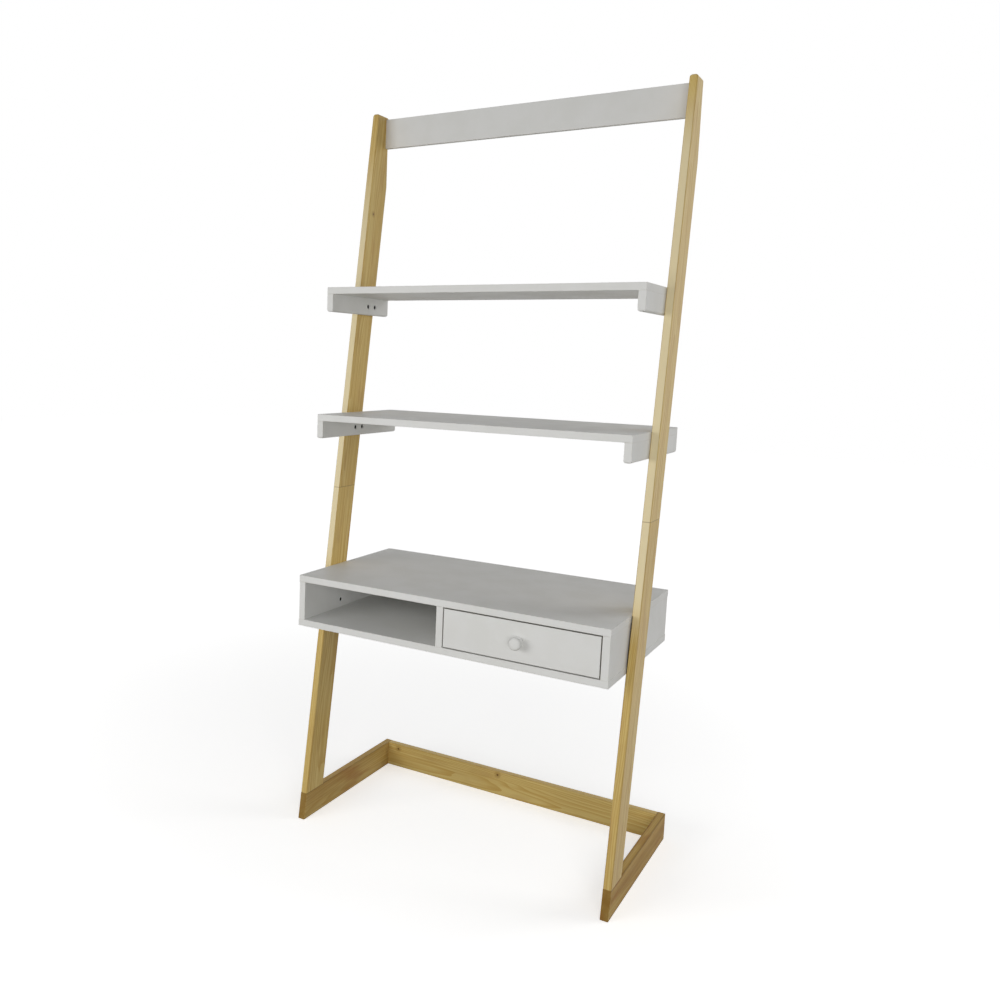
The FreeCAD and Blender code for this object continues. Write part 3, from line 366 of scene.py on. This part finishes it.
def beside_box(add, place):
    """A painted shadow line on a post's inner edge, in its gap with the desk box, over the box's height."""
    split = add("SeparateXYZ", None, (place,)).node.outputs
    low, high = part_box("desk_bottom_panel")[0][2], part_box("desk_top_panel")[1][2]
    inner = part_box("right_lower_post")[0][0]
    # The line is dark as far as this from the post's inner face, and gone a little further out.
    dark, gone = 1.5 * MM, 3.2 * MM
    # It fades over this height, at the top and the bottom of the box.
    fade = 4 * MM
    across = add("Math", {"operation": "ABSOLUTE"}, (split["X"],))
    edge = add("MapRange", EASED, (across, inner + dark, inner + gone, 0.9, 0.0))
    above = add("MapRange", EASED, (split["Z"], low, low + fade))
    below = add("MapRange", EASED, (split["Z"], high - fade, high, 1.0, 0.0))
    band = add("Math", {"operation": "MULTIPLY"}, (above, below))
    return add("Math", {"operation": "MULTIPLY"}, (edge, band))


def growth_rings(add, board, cut, ring):
    """From 0 to 1 across each year's growth, round a pith that runs outside the board."""
    # The tree wasn't straight: over half a metre its rings wander by about this much.
    wander = 22 * MM
    drift = streaks(add, board, (50 * MM, 50 * MM, 550 * MM), cut.number).node.outputs["Color"]
    spread, back = (wander, wander, 0), (-wander / 2, -wander / 2, 0)
    drift = add("VectorMath", {"operation": "MULTIPLY_ADD"}, (drift, spread, back))
    grown = add("VectorMath", {"operation": "ADD"}, (board, drift))
    pith = (-cut.pith[0] * MM, -cut.pith[1] * MM, 0)
    # The saw didn't quite follow the pith, so the rings run out along the board.
    run_out = (0.012, -0.016, 0)
    grown = add("Mapping", None, {"Vector": grown, "Location": pith, "Rotation": run_out})
    # A ring texture at scale 1 has a ring every 2 pi / 20 metres.
    scale = 2 * math.pi / 20 / ring
    kind = {"wave_type": "RINGS", "rings_direction": "Z", "wave_profile": "SAW"}
    return add("TexWave", kind, {"Vector": grown, "Scale": scale}).node.outputs["Fac"]


def painted_highlight(add, source, height, sap):
    """How much painted highlight a post gets: on its narrow faces only, and between its heights."""
    comes, full, fades, gone = (z * MM for z in sap)
    wide = squarely(add, source["Normal"], (1, 0, 0))
    narrow = add("MapRange", EASED, (wide, 0.3, 0.8, 0.9, 0.0))
    above = add("MapRange", EASED, (height, comes, full))
    below = add("MapRange", EASED, (height, fades, gone, 1.0, 0.0))
    pale = add("Math", {"operation": "MULTIPLY"}, (narrow, above))
    return add("Math", {"operation": "MULTIPLY"}, (pale, below))


def pine(node, cut, finish, centre, section):
    """Lacquered pine: pale wood, amber growth lines along the piece, satin sheen, darker sawn ends."""
    material, add = new_material(f"Lacquered pine {node.replace('_', ' ')}")
    source = add("TexCoord").node.outputs
    place = {"Vector": source["Object"], "Location": centre, "Rotation": cut.lie}
    board = add("Mapping", {"vector_type": "TEXTURE"}, place)
    # A darker length has gathered more resin, and is darker over a wider band at its edges.
    aged = 0.15 + 0.6 * cut.tone
    edge_width = (2 + 3 * cut.tone) * MM

    # How wide and deep, and how long, the marks of each pattern are.
    fibre = (finish.fibre, finish.fibre, 70 * MM)
    figure = (finish.figure, finish.figure, 450 * MM)
    cloud = (30 * MM, 30 * MM, 400 * MM)
    pocket = (30 * MM, 30 * MM, 120 * MM)
    rings = growth_rings(add, board, cut, finish.ring)
    fibres = streaks(add, board, fibre, cut.number, detail=3.0)
    figures = streaks(add, board, figure, cut.number + 10)
    clouds = streaks(add, board, cloud, cut.number + 20)
    resin = streaks(add, board, pocket, cut.number + 30)
    wood = coated(
        add,
        opaque(finish.early),
        Coat(rings, 0.35, 1.0, 0.0, 0.6, finish.late),
        Coat(fibres, 0.42, 0.75, 0.0, 0.35, finish.late),
        Coat(figures, 0.45, 0.65, 0.0, 0.4, finish.late),
        Coat(clouds, 0.35, 0.7, 0.55 * cut.tone, cut.tone, finish.heart),
        Coat(resin, 0.5, 0.75, 0.0, aged, finish.resin),
    )

    height = add("SeparateXYZ", None, (source["Object"],)).node.outputs["Z"]
    # Painted highlight: the narrow faces of a post turn pale where its lacquer's sheen would show.
    if cut.sap:
        pale = painted_highlight(add, source, height, cut.sap)
        wood = add("Mix", RGBA, (pale, wood, opaque(finish.sap)))
    for knot in cut.knots:
        at = (knot.x * MM, knot.y * MM, knot.z * MM)
        core, rim, halo = 0.4 * knot.radius * MM, knot.radius * MM, 3.2 * knot.radius * MM
        away = add("VectorMath", {"operation": "DISTANCE"}, (source["Object"], at))
        wood = coated(
            add,
            wood,
            Coat(away, rim, halo, 0.45, 0.0, finish.heart),
            Coat(away, core, rim, 0.8, 0.0, finish.knot),
        )
    for joint in cut.joints:
        line, blur = 0.3 * MM, 1.4 * MM
        away = add("Math", {"operation": "SUBTRACT"}, (height, joint * MM))
        away = add("Math", {"operation": "ABSOLUTE"}, (away,))
        wood = coated(add, wood, Coat(away, line, blur, 0.5, 0.0, finish.edge))

    # The edges are darker, over a wider band and more strongly on a darker length.
    rubbed = near_edge(add, board, section, edge_width)
    rubbed = add("Math", {"operation": "MULTIPLY"}, (rubbed, aged))
    wood = add("Mix", RGBA, (rubbed, wood, opaque(finish.edge)))
    # Painted shadow of the gap at the desk box; only the lengths that stand on a foot rail pass the box.
    if FOOT_JOINT in cut.joints:
        gap_shadow = beside_box(add, source["Object"])
        wood = add("Mix", RGBA, (gap_shadow, wood, opaque(finish.shadow)))
    along = Euler(cut.lie).to_matrix() @ Vector((0, 0, 1))
    sawn = squarely(add, source["Normal"], along)
    wood = coated(add, wood, Coat(sawn, 0.75, 0.95, 0.0, 0.7, finish.end))

    # A darker length has lost more of its lacquer's sheen.
    smooth, rough = 0.3 + 0.25 * cut.tone, 0.42 + 0.28 * cut.tone
    relief = add("Math", {"operation": "ADD"}, (fibres, rings))
    shader = add("BsdfPrincipled", None, {
        "Base Color": wood,
        "Roughness": add("MapRange", EASED, (fibres, 0.3, 0.7, smooth, rough)),
        "Specular IOR Level": 0.2,
        "Normal": add("Bump", None, {"Strength": 0.35, "Distance": 0.12 * MM, "Height": relief}),
    })
    add("OutputMaterial", None, (shader,))
    return material


def paint(name, number, finish, centre, half=None, shaded_sides=False):
    """Rolled satin paint on wood: cloudy white, a fine stipple in the light, rubbed edges."""
    material, add = new_material(name)
    source = add("TexCoord").node.outputs
    board = add("Mapping", {"vector_type": "TEXTURE"}, {"Vector": source["Object"], "Location": centre})
    cloud, patch, stipple = (70 * MM,) * 3, (20 * MM,) * 3, (finish.stipple,) * 3
    clouds = streaks(add, board, cloud, number, detail=3.0)
    stipples = streaks(add, board, stipple, number)
    white = coated(add, opaque(finish.white), Coat(clouds, 0.35, 0.7, 0.0, 0.5, finish.shade))
    if half is not None:
        patches = streaks(add, board, patch, number + 9)
        patches = add("MapRange", EASED, (patches, 0.4, 0.7, 0.1, 0.6))
        edges = near_edge(add, board, half, 1.6 * MM)
        rubbed = add("Math", {"operation": "MULTIPLY"}, (edges, patches))
        white = add("Mix", RGBA, (rubbed, white, opaque(finish.worn)))
    # Painted shade: the drawer front's narrow sides darken, for the shadow in the gap round the drawer.
    if shaded_sides:
        front = squarely(add, source["Normal"], (0, 1, 0))
        white = coated(add, white, Coat(front, 0.2, 0.6, 0.85, 0.0, finish.gap_shade))
    smooth, rough = finish.roughness - 0.03, finish.roughness + 0.03
    shader = add("BsdfPrincipled", None, {
        "Base Color": white,
        "Roughness": add("MapRange", EASED, (clouds, 0.3, 0.7, smooth, rough)),
        "Specular IOR Level": 0.12,
        "Normal": add("Bump", None, {"Strength": 0.25, "Distance": 0.05 * MM, "Height": stipples}),
    })
    add("OutputMaterial", None, (shader,))
    return material


def hardboard(name, number, finish, faced):
    """Hardboard, smooth and white on its faced side and brown pressed fibre on the other."""
    material, add = new_material(name)
    source = add("TexCoord").node.outputs
    fibre, cloud = (finish.fibre,) * 3, (50 * MM,) * 3
    fibres = streaks(add, source["Object"], fibre, number, detail=4.0)
    clouds = streaks(add, source["Object"], cloud, number + 3)
    raw = coated(add, opaque(finish.back), Coat(fibres, 0.35, 0.65, 0.0, 0.6, finish.fleck))
    white = coated(add, opaque(finish.face), Coat(clouds, 0.3, 0.7, 0.0, 0.5, finish.dull))
    side = add("VectorMath", {"operation": "DOT_PRODUCT"}, (source["Normal"], faced))
    side = add("MapRange", EASED, (side, 0.4, 0.6))
    shader = add("BsdfPrincipled", None, {
        "Base Color": add("Mix", RGBA, (side, raw, white)),
        "Roughness": add("MapRange", EASED, (side, 0.0, 1.0, 0.8, 0.45)),
        "Normal": add("Bump", None, {"Strength": 0.3, "Distance": 0.08 * MM, "Height": fibres}),
    })
    add("OutputMaterial", None, (shader,))
    return material


def fine_grained(name, number, base, grain, spread, metallic, roughness):
    """A plain finish with its own fine grain, in mm: lighter and darker, smoother and rougher."""
    material, add = new_material(name)
    place = add("TexCoord").node.outputs["Object"]
    specks = streaks(add, place, [size * MM for size in grain], number, detail=3.0)
    darker = [part * (1 - spread) for part in base]
    smooth, rough = roughness - 0.05, roughness + 0.08
    shader = add("BsdfPrincipled", None, {
        "Base Color": coated(add, opaque(base), Coat(specks, 0.35, 0.7, 0.0, 1.0, darker)),
        "Metallic": metallic,
        "Roughness": add("MapRange", EASED, (specks, 0.3, 0.7, smooth, rough)),
        "Normal": add("Bump", None, {"Strength": 0.3, "Distance": 0.03 * MM, "Height": specks}),
    })
    add("OutputMaterial", None, (shader,))
    return material


def turned(name, profile, base):
    """A turned piece: the profile, as (out from base along -Y, radius), spun once about that line."""
    bm = bmesh.new()
    verts = [bm.verts.new((base.x + radius, base.y - out, base.z)) for out, radius in profile]
    edges = [bm.edges.new(pair) for pair in zip(verts, verts[1:])]
    bmesh.ops.spin(
        bm, geom=verts + edges, cent=base, axis=(0, -1, 0),
        angle=2 * math.pi, steps=KNOB_STEPS, use_merge=True,
    )
    bmesh.ops.remove_doubles(bm, verts=bm.verts, dist=0.01 * MM)
    bmesh.ops.recalc_face_normals(bm, faces=bm.faces)
    mesh = bpy.data.meshes.new(name)
    bm.to_mesh(mesh)
    bm.free()
    mesh.shade_smooth()
    piece = bpy.data.objects.new(name, mesh)
    bpy.context.scene.collection.objects.link(piece)
    return piece


class DESK_OT_pine(bpy.types.Operator):
    """Gives each post and rail its own length of lacquered pine"""

    bl_idname = "ladder_desk.pine"
    bl_label = "Pine posts and rails"

    def execute(self, context):
        for node, cut in CUTS.items():
            half = half_size(node)
            section = {
                LEANING: (half.x, POST_DEPTH / 2),
                SIDE_TO_SIDE: (half.z, half.y),
                FRONT_TO_BACK: (half.x, half.z),
            }[cut.lie]
            # Both lengths of a post lie on one line, through the middle of the lower one.
            centre = middle(node.replace("upper", "lower"))
            give(node, pine(node, cut, context.scene.desk_pine, centre, section))
        return {"FINISHED"}


class DESK_OT_paint(bpy.types.Operator):
    """Paints the shelves, the top rail, the desk box and the drawer satin white"""

    bl_idname = "ladder_desk.paint"
    bl_label = "Painted boards"

    def execute(self, context):
        finish = context.scene.desk_paint
        for number, node in enumerate(PAINTED):
            name = f"Satin paint {node.replace('_', ' ')}"
            gap_shaded = node == "drawer_front"
            give(node, paint(name, number, finish, middle(node), half_size(node), shaded_sides=gap_shaded))
        return {"FINISHED"}


class DESK_OT_hardboard(bpy.types.Operator):
    """Faces the back board and the drawer bottom: white towards the inside, brown outside"""

    bl_idname = "ladder_desk.hardboard"
    bl_label = "Hardboard panels"

    def execute(self, context):
        finish = context.scene.desk_board
        back = hardboard("White-faced hardboard back", 41, finish, faced=(0, -1, 0))
        bottom = hardboard("White-faced hardboard drawer", 42, finish, faced=(0, 0, 1))
        give("desk_back_panel", back)
        give("drawer_bottom", bottom)
        return {"FINISHED"}


class DESK_OT_knob(bpy.types.Operator):
    """Turns the drawer's knob: a flared foot, a slim neck and a crowned head"""

    bl_idname = "ladder_desk.knob"
    bl_label = "Turned knob"

    def execute(self, context):
        shape = context.scene.desk_knob
        out, rim, neck, foot = shape.projection, shape.rim, shape.neck, shape.foot
        low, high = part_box("drawer_knob")
        base = Vector(((low[0] + high[0]) / 2, high[1], (low[2] + high[2]) / 2))
        profile = (
            (0.0, 0.0),
            (0.0, foot * 0.97),
            (0.04 * out, foot),
            (0.11 * out, foot * 0.96),
            (0.16 * out, foot * 0.78),
            (0.27 * out, neck),
            (0.42 * out, neck * 1.02),
            (0.51 * out, rim * 0.66),
            (0.58 * out, rim * 0.94),
            (0.67 * out, rim),
            (0.80 * out, rim * 0.98),
            (0.92 * out, rim * 0.86),
            (0.98 * out, rim * 0.66),
            (out, rim * 0.36),
            (out, 0.0),
        )
        knob = turned("turned_knob", profile, base)
        smooth = knob.modifiers.new("Smooth turning", "SUBSURF")
        smooth.levels = smooth.render_levels = 1
        knob.data.materials.append(paint("Satin paint knob", 51, context.scene.desk_paint, base))
        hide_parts("drawer_knob")
        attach(knob, "drawer")
        return {"FINISHED"}


class DESK_OT_runners(bpy.types.Operator):
    """Finishes the drawer's runners, rollers and rivets"""

    bl_idname = "ladder_desk.runners"
    bl_label = "Runners and rollers"

    def execute(self, context):
        finish = context.scene.desk_hardware
        # Stoved powder coating on pressed steel: even, half gloss, a faint orange peel.
        stoved = fine_grained(
            "Powder-coated steel", 61, finish.coated,
            grain=(1.6, 1.6, 1.6), spread=0.05, metallic=0.0, roughness=0.32,
        )
        # Moulded nylon: milky and half matt, with faint swirls from the mould.
        nylon = fine_grained(
            "Moulded nylon", 62, finish.nylon,
            grain=(4, 4, 4), spread=0.06, metallic=0.0, roughness=0.42,
        )
        # Drawn steel wire, headed cold: bright, with fine drawing lines along it.
        bright = fine_grained(
            "Drawn steel", 63, finish.bright,
            grain=(3, 0.5, 0.5), spread=0.2, metallic=1.0, roughness=0.28,
        )
        give_by_ending({"_runner": stoved, "_roller": nylon, "_rivets": bright})
        return {"FINISHED"}


class DESK_OT_fasteners(bpy.types.Operator):
    """Finishes the bolts, the threaded inserts, the knob's screw and the dowels"""

    bl_idname = "ladder_desk.fasteners"
    bl_label = "Bolts, inserts and dowels"

    def execute(self, context):
        finish = context.scene.desk_hardware
        # Black oxide on turned steel: nearly black, with an oily gleam.
        black = fine_grained(
            "Black oxide steel", 71, finish.black,
            grain=(0.8, 0.8, 0.8), spread=0.3, metallic=0.9, roughness=0.42,
        )
        # Zinc plate on machined steel: pale, cloudy, soft.
        zinc = fine_grained(
            "Zinc-plated steel", 72, finish.zinc,
            grain=(2, 2, 2), spread=0.15, metallic=1.0, roughness=0.4,
        )
        # Turned beech: pinkish brown, with short dark flecks.
        beech = fine_grained(
            "Beech", 73, finish.beech,
            grain=(4, 0.6, 0.6), spread=0.25, metallic=0.0, roughness=0.6,
        )
        give_by_ending({"_bolts": black, "_screw": black, "_inserts": zinc, "_dowels": beech})
        return {"FINISHED"}


class DESK_OT_studio(bpy.types.Operator):
    """Sets the floor, the soft lamps, the white surround and the camera"""

    bl_idname = "ladder_desk.studio"
    bl_label = "Plain studio"

    def execute(self, context):
        studio = context.scene.desk_studio
        self.floor(context, studio)
        self.surround(context, studio)
        for name, lamp in LAMPS.items():
            self.lamp(context, name.title(), lamp, getattr(studio, name))
        self.camera(context, studio)
        context.scene.view_settings.view_transform = "Standard"
        return {"FINISHED"}

    def floor(self, context, studio):
        """Seen, the floor is white with the desk's soft shadow; to the desk it is a mid grey."""
        bm = bmesh.new()
        bmesh.ops.create_grid(bm, x_segments=1, y_segments=1, size=FLOOR_REACH)
        mesh = bpy.data.meshes.new("studio_floor")
        bm.to_mesh(mesh)
        bm.free()
        mesh.materials.append(self.studio_paper(studio))
        floor = bpy.data.objects.new("studio_floor", mesh)
        context.scene.collection.objects.link(floor)

    def studio_paper(self, studio):
        """Matt studio paper: even and pale, with a breath of fibre in it."""
        material, add = new_material("Matt studio paper")
        seen = self.seen(add)
        place = add("TexCoord").node.outputs["Object"]
        # Paper has fibres under a tenth of a millimetre, drawn as tufts of 2 mm so that they show.
        tufts = streaks(add, place, (2 * MM,) * 3, 81)
        tone = add("Mix", RGBA, (seen, opaque(studio.paper), opaque(studio.shown)))
        tone = coated(add, tone, Coat(tufts, 0.4, 0.6, 0.0, 0.03, studio.tuft))
        look = {"Base Color": tone, "Roughness": 0.9, "Specular IOR Level": 0.0}
        shader = add("BsdfPrincipled", None, look)
        # Far from the lamps the paper is lit less, so it glows more there, to one white all over.
        near, far = 0.5, 2.8
        away = add("VectorMath", {"operation": "LENGTH"}, (place,))
        level = add("MapRange", EASED, (away, near, far, 0.52, 0.77))
        level = add("Math", {"operation": "MULTIPLY"}, (level, seen))
        glow = add("Emission", None, {"Color": WHITE, "Strength": level})
        add("OutputMaterial", None, (add("AddShader", None, (shader, glow)),))
        return material

    def seen(self, add):
        """1 where the camera looks, straight or by way of gloss or glass."""
        rays = add("LightPath").node.outputs
        seen = add("Math", {"operation": "MAXIMUM"}, (rays["Is Camera Ray"], rays["Is Glossy Ray"]))
        return add("Math", {"operation": "MAXIMUM"}, (seen, rays["Is Transmission Ray"]))

    def surround(self, context, studio):
        """White where it is seen, and an even light on the desk."""
        world = bpy.data.worlds.new("Studio surround")
        world.use_nodes = True
        world.node_tree.nodes.clear()
        add = partial(add_node, world.node_tree)
        strength = add("MapRange", EASED, (self.seen(add), 0.0, 1.0, studio.sky, 1.0))
        light = add("Background", None, {"Color": WHITE, "Strength": strength})
        add("OutputWorld", None, (light,))
        context.scene.world = world

    def lamp(self, context, name, lamp, watts):
        """A soft lamp in its place, facing its target."""
        light = bpy.data.lights.new(name, "AREA")
        light.shape, light.energy = "RECTANGLE", watts
        light.size, light.size_y = lamp.width, lamp.height
        stand = bpy.data.objects.new(name, light)
        aim = (Vector(lamp.target) - Vector(lamp.place)).to_track_quat("-Z", "Y")
        stand.matrix_world = Matrix.Translation(lamp.place) @ aim.to_matrix().to_4x4()
        context.scene.collection.objects.link(stand)

    def camera(self, context, studio):
        """The camera, at its place, turned left by heading and down by dip, then rolled."""
        lens = bpy.data.cameras.new("Camera")
        lens.sensor_width, lens.lens = SENSOR, studio.lens
        lens.shift_x, lens.shift_y = studio.shift
        lens.clip_start, lens.clip_end = 0.05, 100
        camera = bpy.data.objects.new("Camera", lens)
        camera.matrix_world = (
            Matrix.Translation(studio.place)
            @ Matrix.Rotation(studio.heading, 4, "Z")
            @ Matrix.Rotation(math.pi / 2 - studio.dip, 4, "X")
            @ Matrix.Rotation(studio.roll, 4, "Z")
        )
        context.scene.collection.objects.link(camera)
        context.scene.camera = camera


GROUPS = {
    "desk_pine": PineFinish,
    "desk_paint": PaintFinish,
    "desk_board": BoardFinish,
    "desk_hardware": HardwareFinish,
    "desk_knob": KnobShape,
    "desk_studio": Studio,
}
OPERATORS = (
    DESK_OT_pine,
    DESK_OT_paint,
    DESK_OT_hardboard,
    DESK_OT_knob,
    DESK_OT_runners,
    DESK_OT_fasteners,
    DESK_OT_studio,
)


class DESK_PT_sidebar(bpy.types.Panel):
    """Sizes and colours of the ladder desk, and the steps that finish it"""

    bl_idname = "DESK_PT_sidebar"
    bl_label = "Ladder desk"
    bl_space_type = "VIEW_3D"
    bl_region_type = "UI"
    bl_category = "Ladder desk"

    def draw(self, context):
        for name, group in GROUPS.items():
            box = self.layout.box()
            for field in group.__annotations__:
                box.prop(getattr(context.scene, name), field)
        for operator in OPERATORS:
            self.layout.operator(operator.bl_idname)


def register():
    for cls in (*GROUPS.values(), *OPERATORS, DESK_PT_sidebar):
        bpy.utils.register_class(cls)
    for name, group in GROUPS.items():
        setattr(bpy.types.Scene, name, bpy.props.PointerProperty(type=group))


def unregister():
    for name in GROUPS:
        delattr(bpy.types.Scene, name)
    for cls in reversed((*GROUPS.values(), *OPERATORS, DESK_PT_sidebar)):
        bpy.utils.unregister_class(cls)


def main():
    register()
    for operator in OPERATORS:
        group, step = operator.bl_idname.split(".")
        getattr(getattr(bpy.ops, group), step)()


if __name__ == "__main__":
    main()
